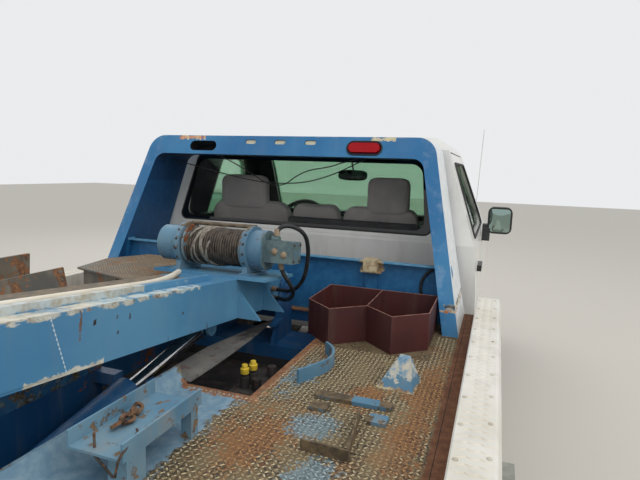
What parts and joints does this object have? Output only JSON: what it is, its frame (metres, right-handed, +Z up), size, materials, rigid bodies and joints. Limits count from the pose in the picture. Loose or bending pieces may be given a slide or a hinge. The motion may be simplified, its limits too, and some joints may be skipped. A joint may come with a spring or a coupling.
{
  "type": "tow truck",
  "caption": "Light tow truck with a regular cab, twin rear wheels, a leaning pylon, an extending box boom with a winch, and a worn tread plate deck.",
  "frame": {"origin": "on the ground, in the middle of the vehicle's box", "axes": "+X forward, +Y to the vehicle's left, +Z up"},
  "size_m": [5.78, 2.374, 2.07],
  "materials": {
    "white_paint": "gloss paint, dusty",
    "blue_paint": "worn paint with chips and rust",
    "boom_blue": "worn paint with scratches and rust spots",
    "deck_blue": "tread plate, worn paint over rust",
    "maroon_paint": "old paint with rust",
    "rusty_steel": "rust",
    "frame_black": "chassis paint",
    "grey_trim": "weathered",
    "black_trim": "moulded",
    "glass": "clear, slightly green",
    "lamp_red": "clear red lens",
    "lamp_clear": "clear lens",
    "chrome_trim": "bright",
    "tyre_rubber": "worn black rubber",
    "rim_steel": "painted steel",
    "seat_cloth": "woven cloth and vinyl",
    "dash_plastic": "grained",
    "hose_rubber": "smooth",
    "cylinder_steel": "polished rod",
    "winch_paint": "worn paint",
    "rope_steel": "wire rope"
  },
  "bodies": {
    "chassis": {"chassis_frame": "frame_black", "fuel_tank": "frame_black", "boom_well": "blue_paint", "boom_mount": "blue_paint", "driveline": "rusty_steel", "front_axle": "frame_black", "rear_axle": "frame_black", "cab_shell": "white_paint", "cab_glass": "glass", "front_clip": "white_paint", "grille": "black_trim", "headlamps": "lamp_clear", "front_bumper": "chrome_trim", "seat": "seat_cloth", "dashboard": "dash_plastic", "deck": "deck_blue", "body_frame": "blue_paint", "side_box_left": "white_paint", "side_box_right": "white_paint", "mud_flaps": "hose_rubber", "pylon": "blue_paint", "red_lamps": "lamp_red", "tailboard": "white_paint", "bins": "maroon_paint", "left_tray": "blue_paint", "trough": "blue_paint", "deck_fittings": "blue_paint", "chain": "rusty_steel", "valve_block": "frame_black", "gap_plate": "deck_blue"},
    "knuckle_left": {"knuckle_left": "frame_black"},
    "knuckle_right": {"knuckle_right": "frame_black"},
    "wheel_front_left": {"tyre_front_left": "tyre_rubber", "rim_front_left": "rim_steel"},
    "wheel_front_right": {"tyre_front_right": "tyre_rubber", "rim_front_right": "rim_steel"},
    "wheels_rear_left": {"tyres_rear_left": "tyre_rubber", "rims_rear_left": "rim_steel"},
    "wheels_rear_right": {"tyres_rear_right": "tyre_rubber", "rims_rear_right": "rim_steel"},
    "door_left": {"door_left": "white_paint", "door_glass_left": "glass"},
    "door_right": {"door_right": "white_paint", "door_glass_right": "glass"},
    "hood": {"hood": "white_paint"},
    "box_door_left": {"box_door_left": "white_paint"},
    "box_door_right": {"box_door_right": "white_paint"},
    "boom": {"boom": "boom_blue", "winch_frame": "winch_paint", "winch_hoses": "hose_rubber"},
    "winch_drum": {"winch_drum": "rope_steel"},
    "inner_boom": {"inner_boom": "boom_blue"},
    "lift_barrel": {"lift_barrel": "blue_paint"},
    "lift_rod": {"lift_rod": "cylinder_steel"}
  },
  "joints": [
    {"name": "steer_left", "type": "hinge", "parent": "chassis", "child": "knuckle_left", "pos_m": [1.925, 0.79, 0.403], "axis": [0, 0, 1], "range_deg": [-32, 32]},
    {"name": "steer_right", "type": "hinge", "parent": "chassis", "child": "knuckle_right", "pos_m": [1.925, -0.79, 0.403], "axis": [0, 0, 1], "range_deg": [-32, 32]},
    {"name": "spin_front_left", "type": "hinge", "parent": "knuckle_left", "child": "wheel_front_left", "pos_m": [1.925, 0.868, 0.403], "axis": [0, 1, 0], "continuous": true},
    {"name": "spin_front_right", "type": "hinge", "parent": "knuckle_right", "child": "wheel_front_right", "pos_m": [1.925, -0.868, 0.403], "axis": [0, 1, 0], "continuous": true},
    {"name": "spin_rear_left", "type": "hinge", "parent": "chassis", "child": "wheels_rear_left", "pos_m": [-1.651, 0.915, 0.403], "axis": [0, 1, 0], "continuous": true},
    {"name": "spin_rear_right", "type": "hinge", "parent": "chassis", "child": "wheels_rear_right", "pos_m": [-1.651, -0.915, 0.403], "axis": [0, 1, 0], "continuous": true},
    {"name": "door_left_swing", "type": "hinge", "parent": "chassis", "child": "door_left", "pos_m": [1.191, 1.013, 0.95], "axis": [0, 0, -1], "range_deg": [0, 65]},
    {"name": "door_right_swing", "type": "hinge", "parent": "chassis", "child": "door_right", "pos_m": [1.191, -1.013, 0.95], "axis": [0, 0, 1], "range_deg": [0, 65]},
    {"name": "hood_lift", "type": "hinge", "parent": "chassis", "child": "hood", "pos_m": [1.473, 0, 1.305], "axis": [0, -1, 0], "range_deg": [0, 50]},
    {"name": "box_left_swing", "type": "hinge", "parent": "chassis", "child": "box_door_left", "pos_m": [-0.264, 1.144, 0.775], "axis": [0, 0, -1], "range_deg": [0, 100]},
    {"name": "box_right_swing", "type": "hinge", "parent": "chassis", "child": "box_door_right", "pos_m": [-0.264, -1.144, 0.775], "axis": [0, 0, 1], "range_deg": [0, 100]},
    {"name": "boom_lift", "type": "hinge", "parent": "chassis", "child": "boom", "pos_m": [-0.571, 0, 1.124], "axis": [0, 1, 0], "range_deg": [0, 25]},
    {"name": "boom_extend", "type": "slide", "parent": "boom", "child": "inner_boom", "axis": [-0.9943, 0, 0.1063], "range_m": [0, 0.9]},
    {"name": "winch_turn", "type": "hinge", "parent": "boom", "child": "winch_drum", "pos_m": [-0.90128, 0.01, 1.35541], "axis": [0, 1, 0], "continuous": true},
    {"name": "cylinder_swing", "type": "hinge", "parent": "chassis", "child": "lift_barrel", "pos_m": [-1.961, 0, 0.865], "axis": [0, -1, 0], "range_deg": [0, 12.5]},
    {"name": "rod_slide", "type": "slide", "parent": "lift_barrel", "child": "lift_rod", "axis": [0.9806, 0, 0.196], "range_m": [0, 0.07]}
  ],
  "couplings": [
    {"joint": "steer_right", "follows": "steer_left", "ratio": 1},
    {"joint": "cylinder_swing", "follows": "boom_lift", "ratio": 0.482},
    {"joint": "rod_slide", "follows": "boom_lift", "m_per_rad": 0.1452}
  ]
}
